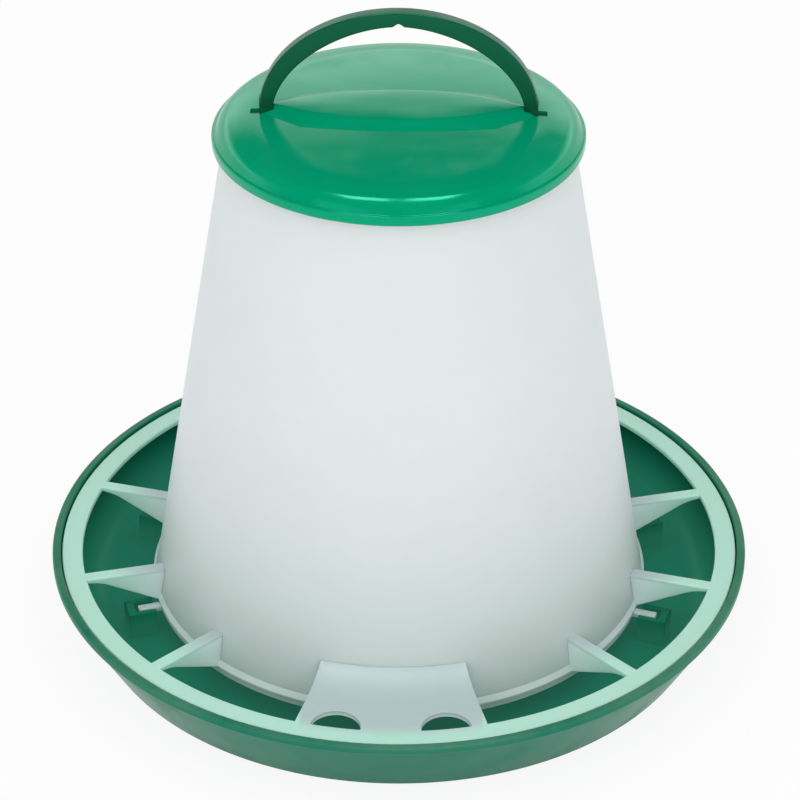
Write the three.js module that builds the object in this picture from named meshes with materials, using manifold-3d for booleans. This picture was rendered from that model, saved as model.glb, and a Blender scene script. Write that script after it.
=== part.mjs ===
import * as THREE from 'three';
import { ConvexGeometry } from 'three/addons/geometries/ConvexGeometry.js';
import { mergeVertices } from 'three/addons/utils/BufferGeometryUtils.js';
import Module from 'manifold-3d';

// Lidded poultry feeder. Millimetres, +Z up, origin on the axis at the plane that the pan stands on.

const wasm = await Module();
wasm.setup();

// Driving dimensions: general
const seatGap = 0.3;
const overrun = 1;
const edgeRound = 0.8;
const roundSteps = 2;
const turnSegments = 72;
const ovalSteps = 16;

// Driving dimensions: pan
const panRadius = 160;
const panHeight = 34;
const panWall = 2.4;
const panLean = 18.2;
const rimWidth = 3.9;
const rimBandHeight = 3.5;
const rimBandStep = 1.2;
const ledgeWidth = 3.3;
const ledgeThickness = 1.6;
const ledgeChamfer = 2.4;
const footWidth = 8;
const footHeight = 1.6;
const footRound = 1.6;
const floorRound = 5;

// Driving dimensions: spreading cone in the middle of the pan
const coneThroat = 35.6;
const coneRise = 60;
const coneTipRadius = 9;
const coneTipRise = 3;
const coneRound = 6;

// Driving dimensions: hopper
const feedGap = 9.6;
const hopperHeight = 231.8;
const troughWidth = 46.4;
const hopperTopRadius = 73.8;
const hopperWall = 1.8;
const beadWidth = 0.6;
const beadHeight = 3;

// Driving dimensions: lugs on the hopper's foot and the forked posts that they drop into
const lugAngle = 18;
const lugReach = 11.6;
const lugWidth = 6;
const lugHeight = 2.8;
const forkClearance = 0.6;
const forkCheek = 2.4;
const forkSeatThickness = 2.4;
const forkLength = 13;
const forkInset = 3.2;
const forkRise = 0.6;

// Driving dimensions: grid
const gridClearance = 0.5;
const gridDrop = 1;
const ringWidth = 9.4;
const ringThickness = 2.4;
const finCount = 12;
const finThickness = 6;
const hubWidth = 1.4;
const hubHeight = 3.5;
const tongueNeckWidth = 27;
const tongueRampRise = 4;
const ovalDepth = 12;

// Driving dimensions: lid
const lidOverhang = 6;
const lidWall = 2;
const lidRise = 5.3;
const shoulderWidth = 10;
const shoulderDrop = 4;
const shoulderRound = 4;
const sideHeight = 8.2;
const sideLean = 2.2;
const sideWall = 1.5;
const sideRound = 2.4;
const flangeWidth = 1.3;
const flangeHeight = 2.4;
const plugDepth = 4;
const plugWall = 1.8;
const plugClearance = 0.8;

// Driving dimensions: raised boss on the lid
const bossMargin = 2;
const bossTaper = 6.5;
const bossTopWidth = 28.6;
const bossFootWidth = 40;
const bossKneeLength = 82;
const bossKneeWidth = 32.2;
const bossRise = 2.3;

// Driving dimensions: handle
const handleSpan = 120;
const handleRise = 45.7;
const handleStrap = 5.8;
const handleDepth = 6.8;
const archPower = 1.9;
const haunchPower = 1.7;
const archSteps = 24;
const bowSteps = 12;
const notchWidth = 5;
const notchDepth = 1.6;
const clipDepth = 4.2;
const clipReach = 3.2;
const clipHeight = 2.6;
const slotClearance = 0.4;
const clipSlack = 0.7;

// Heights that follow from the driving dimensions
const floorZ = footHeight + panWall;
const hopperFootZ = floorZ + feedGap;
const hopperTopZ = hopperFootZ + hopperHeight;
const ringTopZ = panHeight - gridDrop;
const ringBottomZ = ringTopZ - ringThickness;
const ledgeZ = ringBottomZ - seatGap;
const hubBottomZ = hopperFootZ + lugHeight + seatGap;
const lidSeatZ = hopperTopZ + seatGap;
const lidTopZ = lidSeatZ + lidRise;
const bossTopZ = lidTopZ + bossRise;

// Radii that follow from the driving dimensions
const panBaseRadius = panRadius - panLean;
const rimInnerRadius = panRadius - rimWidth;
const gridRadius = rimInnerRadius - gridClearance;
const ringInnerRadius = gridRadius - ringWidth;
const hopperFootRadius = panRadius - troughWidth;
const coneBaseRadius = hopperFootRadius - coneThroat;
const hubOuterRadius = hopperRadiusAt(hubBottomZ) + seatGap + hubWidth;
const hopperTopInnerRadius = hopperTopRadius - hopperWall;
const plugOuterRadius = hopperTopInnerRadius - plugClearance;
const plugInnerRadius = plugOuterRadius - plugWall;
const lidRadius = hopperTopRadius + lidOverhang;

// Outer radius of the hopper's wall at a height
function hopperRadiusAt(z) {
  const share = (z - hopperFootZ) / hopperHeight;
  return THREE.MathUtils.lerp(hopperFootRadius, hopperTopRadius, share);
}

// Outer radius of the pan's sloping wall at a height
function panRadiusAt(z) {
  const wallTopRadius = panRadius - rimBandStep;
  const share = z / (panHeight - rimBandHeight);
  return THREE.MathUtils.lerp(panBaseRadius, wallTopRadius, share);
}

// A closed solid from a three.js geometry
function solidOf(geometry) {
  const bare = geometry.index ? geometry.toNonIndexed() : geometry;
  bare.deleteAttribute('normal');
  bare.deleteAttribute('uv');
  const merged = mergeVertices(bare);
  return new wasm.Manifold(new wasm.Mesh({
    numProp: 3,
    vertProperties: new Float32Array(merged.attributes.position.array),
    triVerts: new Uint32Array(merged.index.array),
  }));
}

// A named mesh from a solid
function meshOf(name, solid, material) {
  const data = solid.getMesh();
  const geometry = new THREE.BufferGeometry();
  geometry.setAttribute('position', new THREE.BufferAttribute(data.vertProperties, 3));
  geometry.setIndex(new THREE.BufferAttribute(data.triVerts, 1));
  geometry.computeVertexNormals();
  const mesh = new THREE.Mesh(geometry, material);
  mesh.name = name;
  return mesh;
}

// Corner points with a rounding each, as a run of points: [across, up, rounding]
function roundedPoints(corners, closed) {
  const points = [];
  const count = corners.length;
  corners.forEach(([across, up, rounding = 0], index) => {
    const corner = new THREE.Vector2(across, up);
    const isEnd = !closed && (index === 0 || index === count - 1);
    if (isEnd || rounding === 0) {
      points.push(corner);
      return;
    }
    const before = corners[(index + count - 1) % count];
    const after = corners[(index + 1) % count];
    const start = new THREE.Vector2(before[0], before[1]).sub(corner).setLength(rounding).add(corner);
    const end = new THREE.Vector2(after[0], after[1]).sub(corner).setLength(rounding).add(corner);
    points.push(...new THREE.QuadraticBezierCurve(start, corner, end).getPoints(roundSteps));
  });
  return points;
}

// A solid turned round the Z axis. An open profile starts and ends on the axis.
function turned(corners, closed = false) {
  const points = roundedPoints(corners, closed);
  if (closed) points.push(points[0].clone());
  return solidOf(new THREE.LatheGeometry(points, turnSegments).rotateX(Math.PI / 2));
}

// An outline pushed up along Z from a height
function raised(outline, bottomZ, height) {
  const shape = outline instanceof THREE.Shape ? outline : new THREE.Shape(outline);
  const settings = { depth: height, bevelEnabled: false, curveSegments: ovalSteps };
  return solidOf(new THREE.ExtrudeGeometry(shape, settings).translate(0, 0, bottomZ));
}

// A side outline, drawn across and up, given its thickness along Y and centred on it
function upright(outline, thickness, rounding = 0) {
  const shape = outline instanceof THREE.Shape ? outline : new THREE.Shape(outline);
  const settings = {
    depth: thickness - 2 * rounding,
    bevelEnabled: rounding > 0,
    bevelSize: rounding,
    bevelThickness: rounding,
    bevelOffset: -rounding,
    bevelSegments: 2,
  };
  const geometry = new THREE.ExtrudeGeometry(shape, settings);
  geometry.translate(0, 0, -(thickness - 2 * rounding) / 2);
  return solidOf(geometry.rotateX(Math.PI / 2));
}

// A block between two corners
function block(low, high) {
  const size = high.clone().sub(low);
  const centre = low.clone().add(high).multiplyScalar(0.5);
  return solidOf(new THREE.BoxGeometry(size.x, size.y, size.z).translate(centre.x, centre.y, centre.z));
}

// Four places, alike about both upright planes of symmetry
const lugAngles = [lugAngle, 180 - lugAngle, 180 + lugAngle, 360 - lugAngle];

// Pan: dish with rim, ledge, foot ring and spreading cone
function makePan() {
  const footInnerRadius = panBaseRadius - footWidth;
  const bandBottomZ = panHeight - rimBandHeight;
  const ledgeInnerRadius = rimInnerRadius - ledgeWidth;
  const ledgeUnderZ = ledgeZ - ledgeThickness;
  const wallTopZ = ledgeUnderZ - ledgeChamfer;
  const coneTopZ = floorZ + coneRise;
  const dish = turned([
    [0, coneTopZ - panWall],
    [coneTipRadius - panWall / 2, coneTopZ - coneTipRise - panWall, coneTipRise],
    [coneBaseRadius - panWall, footHeight, coneRound],
    [footInnerRadius, footHeight],
    [footInnerRadius, 0],
    [panBaseRadius, 0, footRound],
    [panRadiusAt(bandBottomZ), bandBottomZ],
    [panRadius, bandBottomZ, edgeRound],
    [panRadius, panHeight, edgeRound],
    [rimInnerRadius, panHeight, edgeRound],
    [rimInnerRadius, ledgeZ],
    [ledgeInnerRadius, ledgeZ],
    [ledgeInnerRadius, ledgeUnderZ],
    [panRadiusAt(wallTopZ) - panWall, wallTopZ],
    [panRadiusAt(floorZ) - panWall, floorZ, floorRound],
    [coneBaseRadius, floorZ, coneRound],
    [coneTipRadius, coneTopZ - coneTipRise, coneTipRise],
    [0, coneTopZ],
  ]);
  return lugAngles.reduce((pan, angle) => pan.add(makeFork().rotate([0, 0, angle])), dish);
}

// One forked post: two cheeks and the seat between them, drawn out along +X
function makeFork() {
  const innerX = hopperFootRadius + forkInset;
  const outerX = innerX + forkLength;
  const slotHalf = lugWidth / 2 + forkClearance;
  const cheekOuter = slotHalf + forkCheek;
  const bottomZ = floorZ - panWall / 2;
  const seatZ = hopperFootZ - seatGap;
  const topZ = hopperFootZ + lugHeight + forkRise;
  const cheek = block(
    new THREE.Vector3(innerX, slotHalf, bottomZ),
    new THREE.Vector3(outerX, cheekOuter, topZ),
  );
  const seat = block(
    new THREE.Vector3(innerX, -slotHalf - forkCheek / 2, seatZ - forkSeatThickness),
    new THREE.Vector3(outerX, slotHalf + forkCheek / 2, seatZ),
  );
  return cheek.add(cheek.mirror([0, 1, 0])).add(seat);
}

// Hopper: conical tube with a rim bead, and lugs at its foot
function makeHopper() {
  const beadBottomZ = hopperTopZ - beadHeight;
  const tube = turned([
    [hopperFootRadius - hopperWall, hopperFootZ],
    [hopperFootRadius, hopperFootZ],
    [hopperRadiusAt(beadBottomZ), beadBottomZ],
    [hopperTopRadius + beadWidth, beadBottomZ, edgeRound],
    [hopperTopRadius + beadWidth, hopperTopZ, edgeRound],
    [hopperTopInnerRadius, hopperTopZ],
  ], true);
  const lug = block(
    new THREE.Vector3(hopperFootRadius - hopperWall, -lugWidth / 2, hopperFootZ),
    new THREE.Vector3(hopperFootRadius + lugReach, lugWidth / 2, hopperFootZ + lugHeight),
  );
  return lugAngles.reduce((hopper, angle) => hopper.add(lug.rotate([0, 0, angle])), tube);
}

// Angle from one fin to the next
const finStep = 360 / finCount;

// Side outline of a fin, deep at the hub and shallow at the ring
const finSide = [
  [hopperTopRadius, ringTopZ],
  [hopperTopRadius, hubBottomZ],
  [hubOuterRadius, hubBottomZ],
  [ringInnerRadius, ringBottomZ],
  [ringInnerRadius + ringWidth / 2, ringBottomZ],
  [ringInnerRadius + ringWidth / 2, ringTopZ],
].map(([across, up]) => new THREE.Vector2(across, up));

// One tongue: a web between two fins, ramped up to the hopper, with a half-oval on each side at the ring
function makeTongue() {
  const rootX = hopperTopRadius;
  const endX = ringInnerRadius + overrun;
  const spread = Math.tan(THREE.MathUtils.degToRad(finStep / 2));
  const plan = [
    new THREE.Vector2(rootX, -rootX * spread),
    new THREE.Vector2(endX, -endX * spread),
    new THREE.Vector2(endX, endX * spread),
    new THREE.Vector2(rootX, rootX * spread),
  ];
  const side = new THREE.Shape();
  side.moveTo(rootX, hubBottomZ);
  side.lineTo(hubOuterRadius, hubBottomZ);
  side.lineTo(ringInnerRadius, ringBottomZ);
  side.lineTo(endX, ringBottomZ);
  side.lineTo(endX, ringTopZ);
  side.lineTo(ringInnerRadius - ovalDepth, ringTopZ);
  side.quadraticCurveTo(hubOuterRadius, ringTopZ, hopperRadiusAt(ringTopZ), ringTopZ + tongueRampRise);
  side.lineTo(rootX, ringTopZ + tongueRampRise);
  const height = ringTopZ + tongueRampRise - hubBottomZ;
  const planSolid = raised(plan, hubBottomZ - overrun, height + 2 * overrun);
  const web = planSolid.intersect(upright(side, 2 * endX * spread));
  const neckAngle = Math.asin(tongueNeckWidth / 2 / ringInnerRadius);
  const finAngle = THREE.MathUtils.degToRad(finStep / 2) - Math.asin(finThickness / 2 / ringInnerRadius);
  const ovalHalfWidth = ringInnerRadius * Math.sin((finAngle - neckAngle) / 2);
  const oval = new THREE.Shape();
  oval.absellipse(ringInnerRadius, 0, ovalDepth, ovalHalfWidth);
  const cut = raised(oval, hubBottomZ - overrun, height + 2 * overrun);
  const turn = THREE.MathUtils.radToDeg((neckAngle + finAngle) / 2);
  return web.subtract(cut.rotate([0, 0, turn])).subtract(cut.rotate([0, 0, -turn]));
}

// Grid: ring, fins, tongues and hub, with room for the hopper's cone
function makeGrid() {
  const ring = turned([
    [ringInnerRadius, ringBottomZ],
    [gridRadius, ringBottomZ, edgeRound],
    [gridRadius, ringTopZ, edgeRound],
    [ringInnerRadius, ringTopZ, edgeRound],
  ], true);
  const hubTopZ = hubBottomZ + hubHeight;
  const hub = turned([
    [hopperTopRadius, hubBottomZ],
    [hubOuterRadius, hubBottomZ],
    [hubOuterRadius, hubTopZ],
    [hopperTopRadius, hubTopZ],
  ], true);
  const fin = upright(finSide, finThickness);
  let grid = hub;
  for (let index = 0; index < finCount; index += 1) {
    grid = grid.add(fin.rotate([0, 0, finStep * (index + 0.5)]));
  }
  const tongue = makeTongue();
  grid = grid.add(tongue.rotate([0, 0, 90])).add(tongue.rotate([0, 0, 270])).add(ring);
  const room = turned([
    [0, hopperFootZ],
    [hopperFootRadius + seatGap, hopperFootZ],
    [hopperTopRadius + seatGap, hopperTopZ],
    [0, hopperTopZ],
  ]);
  return grid.subtract(room);
}

// Half lengths of the boss, which carries the handle's legs at its tips
const bossFootHalf = handleSpan / 2 + bossMargin;
const bossTopHalf = bossFootHalf - bossTaper;

// Points along a shallow arc across X, alike on both sides, that is highest in the middle
function bow(endX, endY, middleY) {
  const sagitta = middleY - endY;
  const radius = (endX ** 2 + sagitta ** 2) / (2 * sagitta);
  const half = Math.asin(endX / radius);
  const points = [];
  for (let index = 0; index <= bowSteps; index += 1) {
    const angle = half * (1 - 2 * (index / bowSteps));
    points.push(new THREE.Vector2(radius * Math.sin(angle), middleY - radius * (1 - Math.cos(angle))));
  }
  return points;
}

// Solid of the boss, drawn in by an inset, with its foot carried down to a height
function bossSolid(inset, bottomZ) {
  const top = bow(bossTopHalf - inset, 0, bossTopWidth / 2 - inset);
  const tip = new THREE.Vector2(bossFootHalf - inset, 0);
  const flank = bow(bossKneeLength / 2 - inset, bossKneeWidth / 2 - inset, bossFootWidth / 2 - inset);
  const foot = [tip, ...flank];
  const ringAt = (half, z) => half.flatMap((p) => [
    new THREE.Vector3(p.x, p.y, z),
    new THREE.Vector3(-p.x, -p.y, z),
  ]);
  const points = [
    ...ringAt(top, bossTopZ - inset),
    ...ringAt(foot, lidTopZ - inset),
    ...ringAt(foot, bottomZ),
  ];
  return solidOf(new ConvexGeometry(points));
}

// Places of the handle's legs, shared by the handle and its slots
const legOuterX = handleSpan / 2;
const legInnerX = legOuterX - handleStrap;
const strapBottomZ = lidTopZ + seatGap;
const clipTopZ = lidTopZ - lidWall - seatGap;
const clipBottomZ = clipTopZ - clipHeight;

// Half span of the arch's inner edge at a height above its feet
function archInnerX(up) {
  const share = (up / (handleRise - handleStrap)) ** (haunchPower / 2);
  return legInnerX * Math.sqrt(1 - share ** 2) ** (2 / haunchPower);
}

// Lid: cap with a shoulder, a flange, a plug ring, a hollow boss and two slots
function makeLid() {
  const sideTopZ = lidTopZ - shoulderDrop;
  const skirtBottomZ = sideTopZ - sideHeight;
  const flangeTopZ = skirtBottomZ + flangeHeight;
  const sideFootRadius = lidRadius - flangeWidth;
  const sideTopRadius = sideFootRadius - sideLean;
  const shoulderRadius = sideTopRadius - shoulderWidth;
  const plugBottomZ = lidSeatZ - plugDepth;
  const cap = turned([
    [0, lidTopZ - lidWall],
    [shoulderRadius - lidWall, lidTopZ - lidWall],
    [plugInnerRadius, lidSeatZ + lidWall / 2],
    [plugInnerRadius, plugBottomZ],
    [plugOuterRadius, plugBottomZ, edgeRound],
    [plugOuterRadius, lidSeatZ],
    [sideTopRadius - sideWall, lidSeatZ],
    [sideFootRadius - sideWall, skirtBottomZ],
    [lidRadius, skirtBottomZ, edgeRound],
    [lidRadius, flangeTopZ, edgeRound],
    [sideFootRadius, flangeTopZ],
    [sideTopRadius, sideTopZ, sideRound],
    [shoulderRadius, lidTopZ, shoulderRound],
    [0, lidTopZ],
  ]);
  const recessInnerX = archInnerX(bossRise) - slotClearance;
  const hollowHalf = recessInnerX - lidWall;
  const hollowBottomZ = lidTopZ - lidWall - overrun;
  const hollow = bossSolid(lidWall, hollowBottomZ).intersect(block(
    new THREE.Vector3(-hollowHalf, -bossFootWidth / 2, hollowBottomZ),
    new THREE.Vector3(hollowHalf, bossFootWidth / 2, bossTopZ),
  ));
  const slotHalf = clipDepth / 2 + slotClearance;
  const slot = block(
    new THREE.Vector3(legInnerX - slotClearance, -slotHalf, clipBottomZ),
    new THREE.Vector3(legOuterX + clipReach + clipSlack, slotHalf, bossTopZ + overrun),
  );
  const strapHalf = handleDepth / 2 + slotClearance;
  const recess = block(
    new THREE.Vector3(recessInnerX, -strapHalf, lidTopZ),
    new THREE.Vector3(legOuterX + slotClearance, strapHalf, bossTopZ + overrun),
  );
  const cut = slot.add(recess);
  const boss = bossSolid(0, lidTopZ - lidWall);
  return cap.add(boss).subtract(hollow).subtract(cut).subtract(cut.mirror([1, 0, 0]));
}

// Points along a quarter of the arch, from the foot to the crown
function archQuarter(halfSpan, rise, power) {
  const points = [];
  for (let index = 0; index <= archSteps / 2; index += 1) {
    const angle = (Math.PI / 2) * (index / (archSteps / 2));
    const across = halfSpan * Math.cos(angle) ** (2 / power);
    const up = rise * Math.sin(angle) ** (2 / power);
    points.push(new THREE.Vector2(across, up));
  }
  return points;
}

// Handle: arched strap with a hanging notch, and two clip feet
function makeHandle() {
  const archZ = strapBottomZ;
  const lift = new THREE.Vector2(0, archZ);
  const mirrored = (points) => points.map((p) => new THREE.Vector2(-p.x, p.y)).reverse();
  const outer = archQuarter(legOuterX, handleRise, archPower).map((p) => p.add(lift));
  const inner = archQuarter(legInnerX, handleRise - handleStrap, haunchPower).map((p) => p.add(lift));
  const strap = new THREE.Shape([
    ...outer,
    ...mirrored(outer).slice(1),
    ...mirrored(inner).reverse(),
    ...inner.slice(0, -1).reverse(),
  ]);
  const crownZ = archZ + handleRise - handleStrap;
  const notch = upright([
    new THREE.Vector2(-notchWidth / 2, crownZ - overrun),
    new THREE.Vector2(notchWidth / 2, crownZ - overrun),
    new THREE.Vector2(0, crownZ + notchDepth),
  ], handleDepth + 2 * overrun);
  const clip = upright([
    new THREE.Vector2(legInnerX, clipBottomZ),
    new THREE.Vector2(legOuterX, clipBottomZ),
    new THREE.Vector2(legOuterX + clipReach, clipTopZ - clipHeight / 2),
    new THREE.Vector2(legOuterX + clipReach, clipTopZ),
    new THREE.Vector2(legOuterX, clipTopZ),
    new THREE.Vector2(legOuterX, strapBottomZ + handleStrap),
    new THREE.Vector2(legInnerX, strapBottomZ + handleStrap),
  ], clipDepth);
  return upright(strap, handleDepth, edgeRound).subtract(notch).add(clip).add(clip.mirror([1, 0, 0]));
}

const greenPan = new THREE.MeshStandardMaterial({ color: 0x37785f, roughness: 0.42, metalness: 0 });
const whiteHopper = new THREE.MeshStandardMaterial({ color: 0xdce6e5, roughness: 0.5, metalness: 0 });
const paleGrid = new THREE.MeshStandardMaterial({ color: 0xafe1cd, roughness: 0.5, metalness: 0 });
const greenLid = new THREE.MeshStandardMaterial({ color: 0x03916b, roughness: 0.28, metalness: 0 });
const greenHandle = new THREE.MeshStandardMaterial({ color: 0x116043, roughness: 0.35, metalness: 0 });

const feeder = new THREE.Group();
feeder.add(meshOf('feed_pan', makePan(), greenPan));
feeder.add(meshOf('hopper', makeHopper(), whiteHopper));
feeder.add(meshOf('feed_grid', makeGrid(), paleGrid));
feeder.add(meshOf('lid', makeLid(), greenLid));
feeder.add(meshOf('handle', makeHandle(), greenHandle));

export default feeder;
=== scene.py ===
"""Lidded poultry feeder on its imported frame: five mouldings, a studio and a camera. Metres, +Z up."""

import math

import bmesh
import bpy
from bpy.props import FloatProperty, FloatVectorProperty, IntProperty, PointerProperty
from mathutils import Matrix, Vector


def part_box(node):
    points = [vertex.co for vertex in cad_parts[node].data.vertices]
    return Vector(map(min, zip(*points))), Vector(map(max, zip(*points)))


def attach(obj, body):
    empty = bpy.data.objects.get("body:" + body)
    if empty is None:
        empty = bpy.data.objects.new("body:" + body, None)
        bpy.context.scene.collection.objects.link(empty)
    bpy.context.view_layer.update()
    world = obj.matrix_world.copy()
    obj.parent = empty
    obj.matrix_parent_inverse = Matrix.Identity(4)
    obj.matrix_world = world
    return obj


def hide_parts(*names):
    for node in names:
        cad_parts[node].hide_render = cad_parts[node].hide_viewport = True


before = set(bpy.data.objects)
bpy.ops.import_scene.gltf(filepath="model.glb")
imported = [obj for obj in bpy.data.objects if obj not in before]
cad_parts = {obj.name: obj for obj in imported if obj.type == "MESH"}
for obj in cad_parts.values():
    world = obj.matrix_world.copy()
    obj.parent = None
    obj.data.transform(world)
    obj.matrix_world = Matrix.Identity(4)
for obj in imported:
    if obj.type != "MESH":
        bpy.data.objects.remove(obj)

bl_info = {
    "name": "Lidded Feeder",
    "version": (1, 0, 0),
    "blender": (4, 5, 0),
    "location": "View3D > Sidebar > Feeder",
    "description": "Models the mouldings of a poultry feeder and the studio they stand in",
    "category": "Object",
}

PAN_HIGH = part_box("feed_pan")[1]
HOPPER_LOW, HOPPER_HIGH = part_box("hopper")
GRID_LOW, GRID_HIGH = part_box("feed_grid")
LID_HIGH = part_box("lid")[1]
HANDLE_LOW, HANDLE_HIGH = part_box("handle")
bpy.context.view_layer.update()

MM = 0.001
SEAT_GAP = 0.3 * MM
OVERRUN = 1 * MM
MERGE = 0.01 * MM
TURN_STEPS = 192
ROUND_STEPS = 5
EDGE_STEPS = 3
SHARP_ANGLE = math.radians(40)
SMOOTH_ANGLE = math.radians(34)
SIDES = (0, math.pi)
GREEN_GLOSS = {"Specular Tint": (0.1, 1.0, 0.7, 1.0)}
PLASTIC_IOR = 1.49
PALE_CLOUD = 0.03
LAMP_TARGET = Vector((0, 0, 0.13))
SENSOR_WIDTH = 36


def length(name, description, millimetres):
    """A size that the sidebar shows in the scene's unit of length."""
    return FloatProperty(
        name=name, description=description, default=millimetres * MM, min=0, precision=4, unit="LENGTH"
    )


def angle(name, description, degrees):
    """An angle that the sidebar shows in degrees."""
    return FloatProperty(
        name=name, description=description, default=math.radians(degrees), unit="ROTATION"
    )


def number(name, description, default):
    """A plain number, such as a level or a power."""
    return FloatProperty(name=name, description=description, default=default, min=0)


def share(name, description, default):
    """A number from nought to one."""
    return FloatProperty(
        name=name, description=description, default=default, min=0, max=1, subtype="FACTOR"
    )


def rough(default):
    """How rough a piece's surface is."""
    return share("Roughness", "Roughness of the moulded surface", default)


def colour(name, description, red, green, blue):
    """A linear colour with its swatch."""
    return FloatVectorProperty(
        name=name, description=description, default=(red, green, blue), min=0, max=1, subtype="COLOR"
    )


class PanSettings(bpy.types.PropertyGroup):
    """Sizes and colours of the pan."""

    radius: length("Radius", "Outer radius of the rim", PAN_HIGH.x / MM)
    height: length("Height", "Height of the rim", 34)
    wall: length("Wall", "Thickness of the wall and the floor", 2.4)
    lean: length("Lean", "How much the wall leans out up to the rim", 18.2)
    rim_width: length("Rim width", "Width of the rim's top", 3.9)
    band_height: length("Band height", "Height of the band under the rim", 3.5)
    band_step: length("Band step", "How far that band stands out", 1.2)
    ledge_width: length("Ledge width", "Width of the ledge that carries the grid", 3.3)
    ledge_thickness: length("Ledge thickness", "Thickness of that ledge", 1.6)
    foot_width: length("Foot width", "Width of the ring under the base", 8)
    foot_height: length("Foot height", "Height of that ring", 1.6)
    floor_round: length("Floor rounding", "Rounding between the wall and the floor", 7)
    cone_radius: length("Cone radius", "Radius of the spreading cone's base", 78)
    cone_tip: length("Cone tip", "Radius of the cone's blunt tip", 9)
    fork_inset: length("Fork inset", "From the hopper's foot to a fork", 3.2)
    fork_length: length("Fork length", "Length of a fork along the radius", 13)
    fork_cheek: length("Fork cheek", "Thickness of a fork's cheeks", 2.4)
    fork_slack: length("Fork slack", "Room on each side of a lug", 1.6)
    # Painted shade: the inside's green is a darker copy of the outside's, for the shade inside the pan.
    colour: colour("Colour", "Green of the pan's inside", 0.0, 0.15, 0.08)
    outer_colour: colour("Outer colour", "Greyer green of the pan's outside", 0.002, 0.17, 0.1)
    # Partly painted: the rim band greys towards this colour, for rubbed wear and for a painted reflection
    # of the pale studio.
    worn: colour("Worn colour", "Greyer green of the rubbed rim", 0.13, 0.28, 0.20)
    # Painted light: the pan's inner floor glows with this colour, though the pan is no lamp.
    glow: colour("Glow", "Light that comes through the thin wall", 0.012, 0.072, 0.047)
    roughness: rough(0.3)


class HopperSettings(bpy.types.PropertyGroup):
    """Sizes and colours of the hopper."""

    foot_radius: length("Foot radius", "Outer radius at the foot", HOPPER_HIGH.y / MM)
    top_radius: length("Top radius", "Outer radius at the mouth", 73.8)
    wall: length("Wall", "Thickness of the wall", 1.8)
    bead_width: length("Bead width", "How far the mouth bead stands out", 0.6)
    bead_height: length("Bead height", "Height of that bead", 3)
    lug_angle: angle("Lug angle", "Angle from the X axis to the lugs", 18)
    lug_reach: length("Lug reach", "How far a lug stands out", 10.6)
    lug_width: length("Lug width", "Width of a lug", 4)
    lug_height: length("Lug height", "Height of a lug", 2.8)
    colour: colour("Colour", "Milky white of the upper wall", 0.76, 0.83, 0.83)
    # Painted shade: the lower wall darkens and greens towards this colour, for the shade and the green
    # light from the pan.
    painted_shade_colour: colour("Low colour", "Greener white near the pan", 0.62, 0.72, 0.70)
    blend_top: length("Blend top", "Height where the low colour ends", 150)
    roughness: rough(0.42)


class GridSettings(bpy.types.PropertyGroup):
    """Sizes and colours of the grid."""

    radius: length("Radius", "Outer radius of the ring", GRID_HIGH.x / MM)
    ring_width: length("Ring width", "Width of the ring", 9.4)
    ring_thickness: length("Ring thickness", "Thickness of the ring", 2.4)
    ring_top: length("Ring top", "Height of the ring's top above the ground", 33)
    fin_count: IntProperty(name="Fins", description="Number of fins", default=12, min=3)
    fin_thickness: length("Fin thickness", "Thickness of a fin", 6)
    fin_knee: length("Fin knee", "Thin stretch of a fin at the ring", 6.6)
    hub_width: length("Hub width", "Width of the hub round the hopper", 1.0)
    hub_height: length("Hub height", "Height of that hub", 3.5)
    hub_gap: length("Hub gap", "Gap between the hub and the hopper", 0.12)
    neck_width: length("Tongue neck", "Width of a tongue where it meets the ring", 24)
    tongue_thickness: length("Tongue thickness", "Thickness of a tongue", 2.2)
    tongue_rise: length("Tongue rise", "How far a tongue climbs the hopper", 5.5)
    oval_depth: length("Oval depth", "Depth of the half-ovals beside a tongue", 10.8)
    oval_share: share("Half-oval share", "Share of the room that a half-oval takes", 0.93)
    # Painted light: the ring's mint stands for green light from the pan shining through the thin white
    # plastic.
    colour: colour("Colour", "Pale green of the ring", 0.47, 0.79, 0.66)
    # Painted shade: the tops near the hopper get this darker green.
    painted_shade_root_colour: colour("Root colour", "Greyer green near the hopper", 0.46, 0.57, 0.57)
    # Painted light: the fins' sides get this paler green than their tops.
    painted_light_side_colour: colour("Side colour", "Paler green of the fins' sides", 0.75, 0.91, 0.88)
    roughness: rough(0.4)


class LidSettings(bpy.types.PropertyGroup):
    """Sizes and colours of the lid."""

    radius: length("Radius", "Outer radius of the flange", LID_HIGH.x / MM)
    wall: length("Wall", "Thickness of the top", 2)
    top_height: length("Top height", "Height of the top's middle", LID_HIGH.z / MM - 2.3)
    boss_rise: length("Boss rise", "Height of the boss above the top", 2.8)
    boss_crown: length("Boss crown", "How much the boss's top bulges", 0.2)
    dome_drop: length("Dome drop", "How much the top falls to the shoulder", 1.2)
    shoulder_width: length("Shoulder width", "Width of the sloping shoulder", 10)
    shoulder_drop: length("Shoulder drop", "Height of the sloping shoulder", 3.2)
    side_height: length("Side height", "Height of the side and the flange", 9.8)
    side_lean: length("Side lean", "How far the side leans in", 3.2)
    side_wall: length("Side wall", "Thickness of the side", 1.5)
    flange_width: length("Flange width", "How far the flange stands out", 1.3)
    flange_height: length("Flange height", "Height of the flange", 4.4)
    plug_depth: length("Plug depth", "How far the plug ring reaches down", 4)
    plug_wall: length("Plug wall", "Thickness of the plug ring", 1.8)
    plug_slack: length("Plug slack", "Room round the plug ring", 0.8)
    boss_foot_width: length("Boss foot width", "Width of the boss at its foot", 40)
    boss_top_width: length("Boss top width", "Width of the boss's flat top", 28.6)
    boss_knee: length("Boss knee", "From the middle to a knee of the boss", 41)
    boss_knee_width: length("Boss knee width", "Width of the boss at its knees", 32.2)
    boss_margin: length("Boss margin", "How far the boss passes the legs", 2)
    boss_taper: length("Boss taper", "How much shorter its top is at each end", 6.5)
    colour: colour("Colour", "Green of the lid", 0.0, 0.32, 0.155)
    worn: colour("Worn colour", "Paler green of rubbed edges", 0.01, 0.42, 0.24)
    roughness: rough(0.11)


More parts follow.
